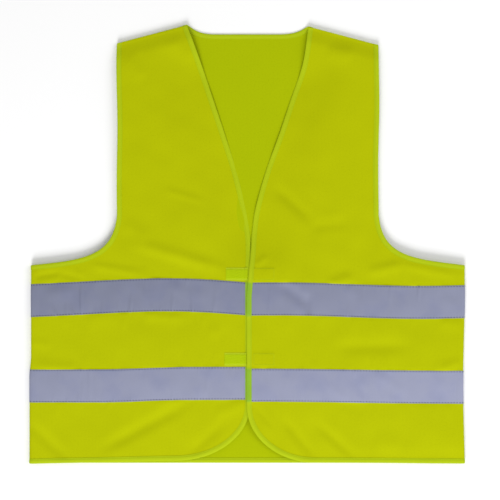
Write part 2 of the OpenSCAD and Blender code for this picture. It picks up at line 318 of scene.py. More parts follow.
def lay(u, v, layer, side):
    """Where the pattern's point (u, v) lies. Past the fold's line its way turns on a quarter
    ellipse, from the layer's height to the middle of the fold."""
    height = front_height if layer == "front" else back_height
    sign = signs[side]
    out = sign * u
    neck, tip = shoulders[side]
    run = (tip - neck) / np.linalg.norm(tip - neck)
    rise = np.array([-run[1], run[0]])
    past = (out - neck[0]) * rise[0] + (v - neck[1]) * rise[1] + fold_r
    over = np.clip(past / fold_len, 0, 1) * quarter
    round_side = np.clip((out - fold_u) / fold_len, 0, 1) * quarter
    foot_out = np.minimum(out, fold_u) - np.maximum(past, 0) * rise[0]
    foot_v = v - np.maximum(past, 0) * rise[1]
    z = height(sign * foot_out, foot_v, side)
    reach = np.sin(round_side) * (side_edge(v, side) - fold_u)
    x = foot_out + reach + fold_r * np.sin(over) * rise[0]
    y = foot_v + fold_r * np.sin(over) * rise[1]
    turned = np.cos(np.maximum(over, round_side))
    return np.stack([sign * x, y, mid_z + (z - mid_z) * turned], -1)


def place(u, v, h, layer, side):
    """Points at height h outside the layer's middle surface, and the outward normal there."""
    u, v, h = np.broadcast_arrays(np.asarray(u, float), np.asarray(v, float), np.asarray(h, float))
    step = 0.3 * mm
    along_u = lay(u + step, v, layer, side) - lay(u - step, v, layer, side)
    along_v = lay(u, v + step, layer, side) - lay(u, v - step, layer, side)
    normal = np.cross(along_u, along_v)
    normal /= np.linalg.norm(normal, axis=-1, keepdims=True)
    if layer == "back":
        normal = -normal
    return lay(u, v, layer, side) + h[..., None] * normal, normal


def cubic(p, t):
    """Points of the cubic curve with the four control points p, at the shares t."""
    t = np.asarray(t, float)[:, None]
    return (p[0] * (1 - t) ** 3 + 3 * p[1] * t * (1 - t) ** 2 + 3 * p[2] * t * t * (1 - t)
            + p[3] * t ** 3)


# Each front's free edge: a rounded lower corner, a straight front edge and the slanted neck edge.
# All of it is measured out from the middle, so the right front's is mirrored.
corner = {"right": (114 * mm, 85 * mm, 4 * mm), "left": (105 * mm, 87 * mm, 1 * mm)}
edge_out = {"right": -3.6 * mm, "left": -0.8 * mm}
neck_knots = {
    "right": np.array([[93, 335], [71.3, 276], [52.8, 221], [34.4, 166], [17, 111], [3.6, 56],
                       [-3, 18], [-4.7, -10], [-4.2, -35], [-3.6, -60]]) * mm,
    "left": np.array([[93.5, 332.5], [85, 276], [66.6, 221], [48.2, 166], [28.3, 111], [13, 56],
                      [7.6, 20], [5.2, -15], [2.2, -45], [-0.8, -80]]) * mm,
}


def through(knots, count):
    """A smooth curve through the knots. On each span it is the cubic whose slope at each end is half
    the step between that knot's neighbours."""
    ends = np.concatenate([2 * knots[:1] - knots[1:2], knots, 2 * knots[-1:] - knots[-2:-1]])
    slope = (ends[2:] - ends[:-2]) / 2
    t = np.linspace(0, len(knots) - 1, count)
    i = np.minimum(t.astype(int), len(knots) - 2)
    t = (t - i)[:, None]
    hump = 3 * t ** 2 - 2 * t ** 3
    return (knots[i] * (1 - hump) + knots[i + 1] * hump
            + slope[i] * (t ** 3 - 2 * t ** 2 + t) + slope[i + 1] * (t ** 3 - t ** 2))


def fold_ends(side):
    """Where the neck point and the shoulder tip are on the pattern, at the shoulder seam."""
    neck, tip = shoulders[side]
    run = (tip - neck) / np.linalg.norm(tip - neck)
    return shoulders[side] + (fold_len - fold_r) * np.array([-run[1], run[0]])


def front_inner(side, heights):
    """How far out the free edge lies at the given heights, above the rounded corner."""
    curve = through(neck_knots[side], 200)[::-1]
    out = np.interp(heights, curve[:, 1], curve[:, 0])
    return np.where(heights < curve[0, 1], edge_out[side], out)


armholes = {
    "right": np.array([[0, -33.5], [252, -25], [204, -21], [tip_x / mm, 45]]) * mm,
    "left": np.array([[0, -33.2], [250, -23], [206, -20], [tip_x / mm + 1, 45]]) * mm,
}
for armhole in armholes.values():
    armhole[0] = fold_u + fold_len, underarm_y


def outer_edge(side, rise, turn, top):
    """The side from the hem up to the underarm (rise, heights), then the armhole's curve (turn,
    shares), then up to the shoulder tip (top, shares)."""
    straight = np.stack([np.full(len(rise), fold_u + fold_len), rise], -1)
    bend = cubic(armholes[side], turn)
    end = fold_ends(side)[1]
    rest = bend[-1] + top[:, None] * (end - bend[-1])
    wave = 1.1 * mm * np.sin(rest[:, 1] * 26 + (2 if side == "left" else 0)) * np.sin(np.pi * top)
    rest[:, 0] += wave
    return np.concatenate([straight, bend, rest])


def front_pattern(side):
    """The front's pattern as a grid (rows, columns) of (u, v): each row is straight, from the free
    edge to the side or the armhole. Rows crowd at the corner, the underarm and the folds; columns
    crowd beside the lapel line and run along it."""
    wide, high, lift = corner[side]
    bend = np.linspace(0, quarter, 26)
    low = np.stack([edge_out[side] + wide * (1 - np.sin(bend)),
                    hem_y + lift + high * (1 - np.cos(bend))], -1)
    rise = np.linspace(low[-1, 1], underarm_y, 74)[1:]
    turn = np.linspace(0, 1, 28)[1:]
    ends = fold_ends(side)
    top = np.concatenate([np.linspace(0, 0.965, 84)[1:], np.linspace(0.97, 1, 10)])
    outer = outer_edge(side, np.concatenate([low[:, 1] - lift * (1 - bend / quarter), rise]), turn, top)
    start = armholes[side][3, 1]
    bend = cubic(armholes[side], turn)[:, 1]
    heights = np.concatenate([rise, bend, start + top * (ends[0, 1] - start)])
    upper = np.stack([front_inner(side, heights), heights], -1)
    upper[-1] = ends[0]
    inner = np.concatenate([low, upper])
    joint = joints[side + "_front"]
    lean = abs(joint["axis"][0] / joint["axis"][1])
    lapel = abs(joint["pos_m"][0]) - lean * (inner[:, 1] - joint["pos_m"][1]) - inner[:, 0]
    span = outer[:, 0] - inner[:, 0]
    near = np.clip((lapel - 20 * mm) / span, 0.12, 0.8)[:, None]
    past = np.clip((lapel + 3 * mm) / span, near[:, 0] + 0.05, 0.93)[:, None]
    roll_columns = np.linspace(0, 1, 26)[1:]
    side_columns = np.concatenate([np.linspace(0, 0.90, 48)[1:], np.linspace(0.911, 1, 10)])
    share = np.concatenate([near * np.linspace(0, 1, 66), near + (past - near) * roll_columns,
                            past + (1 - past) * side_columns], 1)[..., None]
    grid = inner[:, None] * (1 - share) + outer[:, None] * share
    return signs[side] * grid[..., 0], grid[..., 1], inner, outer


def sheet_object(name, low, high, uv, material, loop=False, **marks):
    """A closed sheet between two grids of points (rows, columns, 3): both faces and a rim. A loop's
    last row joins its first. Each of marks is a number at every point of the grid."""
    rows, cols = low.shape[:2]
    count = rows * cols
    index = np.arange(count).reshape(rows, cols)
    if loop:
        index = np.concatenate([index, index[:1]])
    quads = np.stack([index[:-1, :-1], index[:-1, 1:], index[1:, 1:], index[1:, :-1]], -1)
    quads = quads.reshape(-1, 4)
    if loop:
        rims = [(index[:-1, -1], index[1:, -1]), (index[1:, 0], index[:-1, 0])]
    else:
        ring = np.concatenate([index[0, :-1], index[:-1, -1], index[-1, :0:-1], index[:0:-1, 0]])
        rims = [(ring, np.roll(ring, -1))]
    rim = np.concatenate([np.stack([a, b, b + count, a + count], -1) for a, b in rims])
    faces = np.concatenate([quads[:, ::-1], quads + count, rim])
    points = np.concatenate([low.reshape(-1, 3), high.reshape(-1, 3)])
    piece = mesh_object(name, points, faces, np.concatenate([uv.reshape(-1, 2)] * 2), material)
    for mark, value in marks.items():
        value = np.broadcast_to(value, (rows, cols)).ravel().astype(np.float32)
        layer = piece.data.attributes.new(mark, "FLOAT", "POINT")
        layer.data.foreach_set("value", np.concatenate([value, value]))
    return piece


def mesh_object(name, points, faces, uv, material):
    """A new object with that closed mesh, its pattern coordinates (uv, in metres) and its material.
    If its signed volume is negative, its faces point inwards and are turned round."""
    a, b, c, d = (points[faces[:, k]] for k in range(4))
    if ((np.cross(b - a, c - a) + np.cross(c - a, d - a)) * a).sum() < 0:
        faces = faces[:, ::-1]
    made = bpy.data.meshes.new(name)
    made.from_pydata(points.tolist(), [], faces.tolist())
    corners = np.empty(len(made.loops), np.int32)
    made.loops.foreach_get("vertex_index", corners)
    made.uv_layers.new(name="cloth").data.foreach_set("uv", uv[corners].astype(np.float32).ravel())
    made.polygons.foreach_set("use_smooth", np.ones(len(made.polygons), bool))
    made.set_sharp_from_angle(angle=0.9)
    made.materials.append(material)
    piece = bpy.data.objects.new(name, made)
    bpy.context.collection.objects.link(piece)
    return piece


def node(material, kind, **inputs):
    """A new node of that kind in the material, with inputs set by name: a value, or a socket to
    link from. Spaces in names are underscores, and one that isn't an input is a setting."""
    made = material.node_tree.nodes.new(kind)
    for name, value in inputs.items():
        if name in made.bl_rna.properties:
            setattr(made, name, value)
    for name, value in inputs.items():
        if name in made.bl_rna.properties:
            continue
        socket = [s for s in made.inputs if s.name == name.replace("_", " ") and s.enabled][0]
        if isinstance(value, bpy.types.NodeSocket):
            material.node_tree.links.new(value, socket)
        else:
            socket.default_value = value
    return made


def mixed(material, share, first, second, blend_type="MIX"):
    """The colour socket of a mix of two colours, by share."""
    made = node(material, "ShaderNodeMix", data_type="RGBA", blend_type=blend_type, clamp_result=True)
    tree = material.node_tree
    for socket, value in ((made.inputs[0], share), (made.inputs[6], first), (made.inputs[7], second)):
        if isinstance(value, bpy.types.NodeSocket):
            tree.links.new(value, socket)
        else:
            socket.default_value = value
    return made.outputs[2]


def knit_material(name, light, shade):
    """Warp knit: columns of fine loops about 1 mm apart, crossed by the loops' own slant, with a
    slightly uneven dye, and painted shade: its colour is darker between the loops."""
    made, shader = new_material(name, 0.85)
    where = node(made, "ShaderNodeUVMap", uv_map="cloth").outputs["UV"]
    wales = node(made, "ShaderNodeTexWave", Vector=where, Scale=150.0, Distortion=0.0)
    slant = node(made, "ShaderNodeMapping", Vector=where, Rotation=(0, 0, 0.95))
    courses = node(made, "ShaderNodeTexWave", Vector=slant.outputs[0], Scale=210.0, Distortion=0.6,
                   Detail=1.0)
    loops = node(made, "ShaderNodeMath", operation="MULTIPLY")
    made.node_tree.links.new(wales.outputs["Fac"], loops.inputs[0])
    made.node_tree.links.new(courses.outputs["Fac"], loops.inputs[1])
    cloudy = node(made, "ShaderNodeTexNoise", Vector=where, Scale=14.0, Detail=3.0)
    fine = node(made, "ShaderNodeTexNoise", Vector=where, Scale=420.0, Detail=2.0)
    tone = mixed(made, cloudy.outputs["Fac"], light, shade)
    speck = mixed(made, fine.outputs["Fac"], (0.88, 0.88, 0.88, 1), (1.12, 1.12, 1.12, 1))
    tone = mixed(made, 1.0, tone, speck, "MULTIPLY")
    # Painted shade: the colour is darker, and a little less blue, where the loops' height is low, between
    # the loops.
    deep = mixed(made, loops.outputs[0], (0.95, 0.95, 0.9, 1), (1.04, 1.04, 1.04, 1))
    tone = mixed(made, 1.0, tone, deep, "MULTIPLY")
    made.node_tree.links.new(tone, shader.inputs["Base Color"])
    bump = node(made, "ShaderNodeBump", Height=loops.outputs[0], Distance=0.12 * mm, Strength=0.6)
    made.node_tree.links.new(bump.outputs[0], shader.inputs["Normal"])
    return made


knit = knit_material("yellow_knit", (0.465, 0.515, 0.001, 1), (0.44, 0.49, 0.001, 1))
knit_inside = knit_material("yellow_knit_inside", (0.42, 0.505, 0.001, 1), (0.395, 0.48, 0.001, 1))


def fold_open(piece, side):
    """Bakes a piece of a front's placement into its mesh. It works out the front's joint axis and
    the way inwards across it, but uses neither: the piece is not bent where the front folds."""
    joint = joints[side + "_front"]
    axis = np.array(joint["axis"])
    inward = np.cross([0, 0, 1], axis)
    inward *= np.sign(-signs[side] * inward[0])
    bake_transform(piece)


patterns = {}
for side in ("right", "left"):
    u, v, inner, outer = front_pattern(side)
    patterns[side] = inner, outer
    low, _ = place(u, v, -cloth_t / 2, "front", side)
    high, _ = place(u, v, cloth_t / 2, "front", side)
    front = sheet_object(side + "_front", low, high, np.stack([u, v], -1), knit)
    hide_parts(side + "_front_panel", side + "_front_side_panel")
    fold_open(front, side)


def neck_edge(side):
    """The back neck edge of one half, from the shoulder seam down a curve and in to the middle."""
    start = fold_ends(side)[0]
    low = back_high.y - 14 * mm
    bend = np.array([start, [78 * mm, low + 1 * mm], [64 * mm, low], [44 * mm, low]])
    return np.concatenate([cubic(bend, np.linspace(0, 1, 24)), [[0, low]]])


def back_pattern():
    """The back's pattern as a grid (rows, columns) of (u, v), from hem to shoulders and neck, and
    from the right side to the left."""
    rise = np.linspace(hem_y, underarm_y, 70)
    turn = np.linspace(0, 1, 20)[1:]
    top = np.concatenate([np.linspace(0, 0.965, 60)[1:], np.linspace(0.97, 1, 10)])
    edges = {s: outer_edge(s, rise, turn, top) for s in signs}
    half = np.concatenate([np.linspace(0, 0.974, 84), np.linspace(0.977, 1, 9)])
    share = np.concatenate([-half[:0:-1], half])
    width = np.where(share < 0, edges["right"][:, 0][:, None], edges["left"][:, 0][:, None])
    u = share[None, :] * width
    height = np.where(share < 0, edges["right"][:, 1][:, None], edges["left"][:, 1][:, None])
    v = height.copy()
    climb = np.concatenate([np.zeros(len(rise) + len(turn)), top])[:, None]
    for s in signs:
        ends = fold_ends(s)
        own = (share < 0) == (s == "right")
        out = np.abs(u[-1])
        line = ends[0, 1] + (out - ends[0, 0]) * (ends[1, 1] - ends[0, 1]) / (ends[1, 0] - ends[0, 0])
        edge = neck_edge(s)[::-1]
        peak = np.where(out < ends[0, 0], np.interp(out, edge[:, 0], edge[:, 1]), line)
        base = height[len(rise) + len(turn) - 1]
        v = np.where(own[None, :], np.where(climb > 0, base + climb * (peak - base), v), v)
    return u, v


u, v = back_pattern()
right_half = u < 0
faces = []
for h in (cloth_t / 2, -cloth_t / 2):
    pair = [place(u, v, h, "back", s)[0] for s in ("right", "left")]
    faces.append(np.where(right_half[..., None], *pair))
back = sheet_object("back", faces[0], faces[1], np.stack([u, v], -1), knit_inside)
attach(back, "shell")
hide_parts("back_panel")


# The binding: a strip of yellow-green woven tape, folded over every free edge and sewn down by a
# row of lockstitch near its inner edge. It is a hairpin in section, and the cloth lies inside it.
def binding_material():
    """Woven tape: fine ribs across it, painted shade between the ribs and in the sewn groove, and green
    where it covers a band.
    """
    made, shader = new_material("edge_binding", 0.7)
    where = node(made, "ShaderNodeUVMap", uv_map="cloth").outputs["UV"]
    ribs = node(made, "ShaderNodeTexWave", Vector=where, Scale=330.0, Distortion=0.4)
    fine = node(made, "ShaderNodeTexNoise", Vector=where, Scale=300.0, Detail=2.0)
    over = node(made, "ShaderNodeAttribute", attribute_name="over_tape").outputs["Fac"]
    groove_shade_mask = node(made, "ShaderNodeAttribute", attribute_name="sewn").outputs["Fac"]
    tone = mixed(made, fine.outputs["Fac"], (0.415, 0.515, 0.006, 1), (0.455, 0.565, 0.010, 1))
    # Painted shade: a darker yellow-green along the sewn groove.
    tone = mixed(made, groove_shade_mask, tone, (0.39, 0.485, 0.004, 1))
    tone = mixed(made, over, tone, (0.265, 0.46, 0.033, 1))
    # Painted shade: darker colour between the ribs, the same ribs that make the bump.
    rib_painted_shade = mixed(made, ribs.outputs["Fac"], (0.9, 0.92, 0.9, 1), (1.05, 1.05, 1.05, 1))
    tone = mixed(made, 1.0, tone, rib_painted_shade, "MULTIPLY")
    made.node_tree.links.new(tone, shader.inputs["Base Color"])
    bump = node(made, "ShaderNodeBump", Height=ribs.outputs["Fac"], Distance=0.1 * mm, Strength=0.5)
    made.node_tree.links.new(bump.outputs[0], shader.inputs["Normal"])
    return made


binding_cloth = binding_material()
bind_t = 0.35 * mm
over_band = 0.42 * mm
slot_h = cloth_t / 2 + 0.02 * mm
sewn_w = 0.80 * bind_w


def binding_profile():
    """The hairpin's outer and inner outlines as (w, h), w in from the edge and h out of the cloth.
    Both faces swell between the fold and the stitches, and pinch in where they are sewn."""
    w = bind_w * np.array([1, 0.93, 0.86, 0.80, 0.73, 0.62, 0.45, 0.28, 0.14, 0.04])
    plump = 0.32 * mm * np.sin(np.pi * np.clip((0.84 - w / bind_w) / 0.80, 0, 1)) ** 0.7
    pinch = 0.12 * mm * np.exp(-((w - sewn_w) / (0.5 * mm)) ** 2)
    h = slot_h + bind_t + plump - pinch
    nose = np.array([[-0.25 * mm, 0.75 * h[-1]], [-0.45 * mm, 0], [-0.25 * mm, -0.75 * h[-1]]])
    outer = np.concatenate([np.stack([w, h], -1), nose, np.stack([w, -h], -1)[::-1]])
    inner = np.stack([np.maximum(outer[:, 0], 0.0), np.sign(outer[:, 1]) * slot_h], -1)
    return outer, inner


def resampled(path, step):
    """The same path with points an equal step apart, or a little less, and how far along each is."""
    gaps = np.linalg.norm(np.diff(path, axis=0), axis=-1)
    along = np.concatenate([[0], np.cumsum(gaps)])
    at = np.linspace(0, along[-1], int(np.ceil(along[-1] / step)) + 1)
    return np.stack([np.interp(at, along, path[:, k]) for k in range(2)], -1), at


def inset(path, turn, w):
    """The path moved w into the cloth, which lies a quarter turn from the path's own way."""
    way = np.gradient(path, axis=0)
    way /= np.linalg.norm(way, axis=-1, keepdims=True)
    into = turn * np.stack([-way[:, 1], way[:, 0]], -1)
    return path[:, None] + into[:, None] * np.asarray(w)[..., None]


def binding_run(path, turn, layer, side):
    """Sections of the binding along a path (out, v): inner and outer points, pattern coordinates,
    how much of each section lies over a band, and the stitches' centres, ways and normals."""
    path, along = resampled(path, 2.6 * mm)
    outer, inner = binding_profile()
    over = 0 * along
    if layer == "front":
        over = band_cover(signs[side] * path[:, 0], path[:, 1], side)
    grids = []
    for outline in (inner, outer):
        spot = inset(path, turn, np.broadcast_to(outline[:, 0], (len(path), len(outline))))
        h = outline[:, 1] + over[:, None] * np.where(outline[:, 1] > 0, over_band, 0)
        grids.append(place(signs[side] * spot[..., 0], spot[..., 1], h, layer, side)[0])
    girth = np.concatenate([[0], np.cumsum(np.linalg.norm(np.diff(outer, axis=0), axis=-1))])
    uv = np.stack(np.broadcast_arrays(along[:, None], girth), -1)
    h = slot_h + bind_t - 0.02 * mm
    sewn = resampled(inset(path, turn, np.full((len(path), 1), sewn_w))[:, 0], 3.1 * mm)[0]
    lift = 0
    if layer == "front":
        lift = over_band * band_cover(signs[side] * sewn[:, 0], sewn[:, 1], side)
    rows = [place(signs[side] * sewn[:, 0], sewn[:, 1], face, layer, side) for face in (h + lift, -h)]
    stitches = [row_frames(points, normal * turned) for (points, normal), turned in zip(rows, (1, -1))]
    return grids, uv, over, stitches


def row_frames(points, normal):
    """Where each stitch of a row goes: the middles between the points, the ways and the normals."""
    middle = (points[1:] + points[:-1]) / 2
    way = points[1:] - points[:-1]
    way /= np.linalg.norm(way, axis=-1, keepdims=True)
    return middle, way, normal[1:]


def stitches_object(name, rows, length, width, material, height=0.6):
    """Stitches laid end to end along rows of (middles, ways, normals): each is a short rounded bar of
    six sides, length long, width wide and a share of that high."""
    at = np.array([-0.5, -0.36, 0.36, 0.5]) * length
    fat = np.array([0.45, 1, 1, 0.45]) * width / 2
    around = np.arange(6) * np.pi / 3
    side_way, up = fat[:, None] * np.cos(around), fat[:, None] * np.sin(around) * height
    bars = []
    for middle, way, normal in rows:
        across = np.cross(normal, way)
        across /= np.linalg.norm(across, axis=-1, keepdims=True)
        rise = np.cross(way, across)
        bars.append(middle[:, None, None] + at[:, None, None] * way[:, None, None]
                    + side_way[..., None] * across[:, None, None] + up[..., None] * rise[:, None, None])
    bars = np.concatenate(bars)
    index = np.arange(24).reshape(4, 6)
    walls = np.stack([index[:-1], np.roll(index, -1, 1)[:-1], np.roll(index, -1, 1)[1:], index[1:]], -1)
    caps = np.array([[0, 5, 4, 3], [0, 3, 2, 1], [18, 19, 20, 21], [18, 21, 22, 23]])
    faces = np.concatenate([walls.reshape(-1, 4), caps])
    faces = (np.arange(len(bars))[:, None, None] * index.size + faces).reshape(-1, 4)
    points = bars.reshape(-1, 3)
    return mesh_object(name, points, faces, points[:, :2].copy(), material)


def thread_material(name, light, dark):
    """Spun sewing thread: slanted plies, painted lighter on their crowns and darker between them as
    painted highlight and shade, with a soft shine.
    """
    made, shader = new_material(name, 0.55, 0.1)
    where = node(made, "ShaderNodeUVMap", uv_map="cloth").outputs["UV"]
    turned = node(made, "ShaderNodeMapping", Vector=where, Rotation=(0, 0, 0.6))
    ply_painted_shade = node(made, "ShaderNodeTexWave", Vector=turned.outputs[0], Scale=900.0)
    # Painted highlight and shade: the plies go from the dark colour in their gaps to the light one on
    # their crowns.
    made.node_tree.links.new(mixed(made, ply_painted_shade.outputs["Fac"], dark, light), shader.inputs["Base Color"])
    return made


yellow_thread = thread_material("yellow_thread", (0.52, 0.66, 0.01, 1), (0.40, 0.50, 0.005, 1))


def groove_shade_mark(outer):
    """1 along the sewn groove of the hairpin and 0 away from it: where the binding is painted darker, as
    painted shade in the groove.
    """
    return np.exp(-((outer[:, 0] - sewn_w) / (0.75 * mm)) ** 2)


def strip_length(path):
    """How long a strip is that follows the path."""
    return float(np.linalg.norm(np.diff(path, axis=0), axis=-1).sum())


# Where the binding's colour is painted darker, as painted shade in the sewn groove.
groove_shade_mask = groove_shade_mark(binding_profile()[0])
edge_stitch = 2.5 * mm, 0.42 * mm

for side in ("right", "left"):
    inner, outer = patterns[side]
    path = np.concatenate([outer[:1], inner])
    grids, uv, over, sewn = binding_run(path, -1, "front", side)
    piece = sheet_object(side + "_front_binding", *grids, uv, binding_cloth,
                         over_tape=over[:, None], sewn=groove_shade_mask)
    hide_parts(side + "_front_edge_binding", side + "_hem_binding_front")
    fold_open(piece, side)
    row = stitches_object(side + "_front_binding_stitches", sewn, *edge_stitch, yellow_thread)
    fold_open(row, side)

    bare = outer[np.searchsorted(outer[:, 1], underarm_y):]
    rings = [binding_run(bare[::-1], -1, "front", side), binding_run(bare, 1, "back", side)]
    low, high = (np.concatenate([r[0][k][:-1] for r in rings]) for k in (0, 1))
    uv = np.concatenate([r[1][:-1] for r in rings])
    piece = sheet_object(side + "_armhole_binding", low, high, uv, binding_cloth, loop=True,
                         over_tape=0.0, sewn=groove_shade_mask)
    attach(piece, "shell")
    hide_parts(side + "_armhole_binding_front", side + "_armhole_binding_back")
    row = stitches_object(side + "_armhole_stitches", rings[0][3] + rings[1][3], *edge_stitch,
                          yellow_thread)
    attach(row, "shell")

hem = np.array([[fold_u + fold_len, hem_y], [0, hem_y]])
for name, turn, route in (("back_neck", 1, neck_edge), ("back_hem", -1, lambda side: hem)):
    halves = [binding_run(route(s), turn, "back", s) for s in ("right", "left")]
    low, high = (np.concatenate([halves[0][0][k], halves[1][0][k][-2::-1]]) for k in (0, 1))
    far = halves[0][1][-1, 0, 0]
    mirrored = halves[1][1][-2::-1] * [-1, 1] + [2 * far, 0]
    piece = sheet_object(name + "_binding", low, high, np.concatenate([halves[0][1], mirrored]),
                         binding_cloth, over_tape=0.0, sewn=groove_shade_mask)
    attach(piece, "shell")
    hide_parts({"back_neck": "neck_binding", "back_hem": "hem_binding_back"}[name])
    strip_length(route("right")) + strip_length(route("left"))
    row = stitches_object(name + "_stitches", halves[0][3] + halves[1][3], *edge_stitch,
                          yellow_thread)
    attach(row, "shell")


# The reflective bands: 50 mm silver grey tape, a cotton-like backing faced with fine glass beads,
# sewn flat on the cloth by a row of lockstitch near each edge, which dimples it; the thread is painted
# dark grey, its own grey darkened by painted shade where it sinks into the tape.
def tape_material():
    """Glass bead facing: grey with a fine speckle, a faint weave under it and a soft sheen, its grey
    painted lighter towards the lower right as painted light.
    """
    made, shader = new_material("bead_tape", 0.52)
    shader.inputs["Specular IOR Level"].default_value = 0.15
    where = node(made, "ShaderNodeUVMap", uv_map="cloth").outputs["UV"]
    beads = node(made, "ShaderNodeTexNoise", Vector=where, Scale=900.0, Detail=2.0)
    cloudy = node(made, "ShaderNodeTexNoise", Vector=where, Scale=22.0, Detail=4.0)
    weave = node(made, "ShaderNodeTexChecker", Vector=where, Scale=1600.0)
    # Painted light: the grey below is painted dark at the top of the vest and lighter towards its lower
    # edge and a little to the right, as the window light falls off.
    place_in = node(made, "ShaderNodeTexCoord").outputs["Object"]
    turned = node(made, "ShaderNodeMapping", Vector=place_in, Rotation=(0, 0, 1.40),
                  Scale=(3.6, 3.6, 1.0), Location=(-0.02, 0, 0))
    painted_light_falloff = node(made, "ShaderNodeTexGradient", Vector=turned.outputs[0])
    base = mixed(made, painted_light_falloff.outputs["Fac"], (0.190, 0.205, 0.285, 1), (0.320, 0.336, 0.463, 1))
    speck = mixed(made, beads.outputs["Fac"], (0.86, 0.86, 0.86, 1), (1.14, 1.14, 1.14, 1))
    patchy = mixed(made, cloudy.outputs["Fac"], (0.78, 0.81, 0.92, 1), (1.21, 1.18, 1.10, 1))
    tone = mixed(made, 1.0, mixed(made, 1.0, base, speck, "MULTIPLY"), patchy, "MULTIPLY")
    made.node_tree.links.new(tone, shader.inputs["Base Color"])
    bump = node(made, "ShaderNodeBump", Height=weave.outputs["Fac"], Distance=0.03 * mm, Strength=0.4)
    made.node_tree.links.new(bump.outputs[0], shader.inputs["Normal"])
    return made


bead_tape = tape_material()
# Grey thread, painted darker than its own grey: painted shade where the stitches sink into the tape.
grey_thread_painted_shade = thread_material("grey_thread_painted_shade", (0.055, 0.06, 0.10, 1), (0.03, 0.033, 0.06, 1))
tape_t = 0.38 * mm
tape_h = cloth_t / 2 + 0.04 * mm
row_in = 1.4 * mm
pitch = 4.46 * mm
side_end = fold_u + fold_len
across = np.array([-25, -24.7, -24.1, -23.4, -22.7, -22, -21, -18, -13, -7, 0]) * mm
across = np.concatenate([across, -across[-2::-1]])


def tape_dimples(at, off):
    """How far the stitches pull the tape down: a hollow along each row, deepest between stitches."""
    row = np.exp(-((np.abs(off) - band_half + row_in) / (0.9 * mm)) ** 2)
    return row * (0.07 + 0.10 * np.cos(2 * np.pi * at / pitch)) * mm


def band_grid(at, middle, layer, side):
    """The tape's two faces at distances at (out) along it, and the stitches of its two rows, which
    show on the tape and, half a stitch on, on the inside of the cloth."""
    u = signs[side] * at[:, None]
    v = middle[:, None] + across
    h = tape_h - tape_dimples(at[:, None], across)
    low = place(u, v, h, layer, side)[0]
    high = place(u, v, h + tape_t, layer, side)[0]
    spots = np.arange(at.min() + 3 * mm, at.max() - 0.5 * mm, pitch)
    rows = []
    for edge in (-1, 1):
        off = edge * (band_half - row_in)
        mid = np.interp(spots, at, middle) + off
        points, normal = place(signs[side] * spots, mid, tape_h + tape_t - 0.03 * mm, layer, side)
        ahead, _ = place(signs[side] * (spots + 0.5 * mm), mid, tape_h + tape_t - 0.03 * mm, layer, side)
        way = (ahead - points) / np.linalg.norm(ahead - points, axis=-1, keepdims=True)
        under, _ = place(signs[side] * (spots + pitch / 2), mid, -cloth_t / 2 - 0.02 * mm, layer, side)
        rows += [(points, way, normal), (under, way, -normal)]
    return low, high, np.stack([u + 0 * v, v], -1), rows


for side in ("right", "left"):
    rows = []
    for band in ("upper", "lower"):
        at = np.linspace(edge_out[side] + bind_w - 1.6 * mm, side_end, 262)
        low, high, uv, sewn = band_grid(at, band_middle(at, band, side), "front", side)
        rows += sewn
        piece = sheet_object(side + "_" + band + "_band", low, high, uv, bead_tape)
        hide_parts(*(side + "_" + band + "_band_" + part for part in ("front", "side")))
        fold_open(piece, side)
    row = stitches_object(side + "_band_stitches", rows, 2.3 * mm, 0.95 * mm, grey_thread_painted_shade)
    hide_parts(side + "_front_band_stitching", side + "_side_band_stitching")
    fold_open(row, side)

rows = []
for band in ("upper", "lower"):
    ends = {s: band_middle(np.array(side_end), band, s) for s in signs}
    lows, highs, uvs = [], [], []
    for s in ("right", "left"):
        at = np.linspace(0, side_end, 262)
        centre = (ends["right"] + ends["left"]) / 2
        low, high, uv, sewn = band_grid(at, centre + (ends[s] - centre) * at / side_end, "back", s)
        order = slice(None, None, -1) if s == "right" else slice(1, None)
        lows, highs, uvs = lows + [low[order]], highs + [high[order]], uvs + [uv[order]]
        rows += sewn
    piece = sheet_object(band + "_band_back_tape", *(np.concatenate(x) for x in (lows, highs, uvs)),
                         bead_tape)
    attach(piece, "shell")
    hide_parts(band + "_band_back")
row = stitches_object("back_band_stitches", rows, 2.5 * mm, 0.5 * mm, grey_thread_painted_shade)
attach(row, "shell")
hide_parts("back_band_stitching")


# The closure: two pieces of soft loop tape sewn on the outside of the right front, and two of hook
# tape under the left front, each with a box of yellow lockstitch.
def pile_material(name, light, shade, edge):
    """Brushed loops between two flat woven selvedges, which are paler. The colour is painted darker where
    the pile is low, as painted shade down in the pile.
    """
    made, shader = new_material(name, 0.9, 0.04)
    where = node(made, "ShaderNodeUVMap", uv_map="cloth").outputs["UV"]
    loops = node(made, "ShaderNodeTexNoise", Vector=where, Scale=620.0, Detail=3.0, Roughness=0.7)
    tufts = node(made, "ShaderNodeTexNoise", Vector=where, Scale=230.0, Detail=2.0)
    woven = node(made, "ShaderNodeAttribute", attribute_name="selvedge").outputs["Fac"]
    tone = mixed(made, tufts.outputs["Fac"], shade, light)
    tone = mixed(made, woven, tone, edge)
    # Painted shade: the same noise that raises the pile darkens its colour where it is low.
    speck = mixed(made, loops.outputs["Fac"], (0.82, 0.82, 0.8, 1), (1.16, 1.16, 1.16, 1))
    tone = mixed(made, 1.0, tone, speck, "MULTIPLY")
    made.node_tree.links.new(tone, shader.inputs["Base Color"])
    bump = node(made, "ShaderNodeBump", Height=loops.outputs["Fac"], Distance=0.3 * mm, Strength=0.7)
    made.node_tree.links.new(bump.outputs[0], shader.inputs["Normal"])
    return made


pile = pile_material("loop_pile", (0.43, 0.565, 0.003, 1), (0.38, 0.515, 0.002, 1),
                     (0.48, 0.60, 0.018, 1))
hook_tape = pile_material("hook_ground", (0.46, 0.59, 0.004, 1), (0.41, 0.54, 0.003, 1),
                          (0.45, 0.57, 0.010, 1))
patch_cut = 33.5 * mm
selvedge_w = 2.2 * mm
patch_settled = {"upper": (0.0, 0.2 * mm), "lower": (-2.2 * mm, -0.4 * mm)}


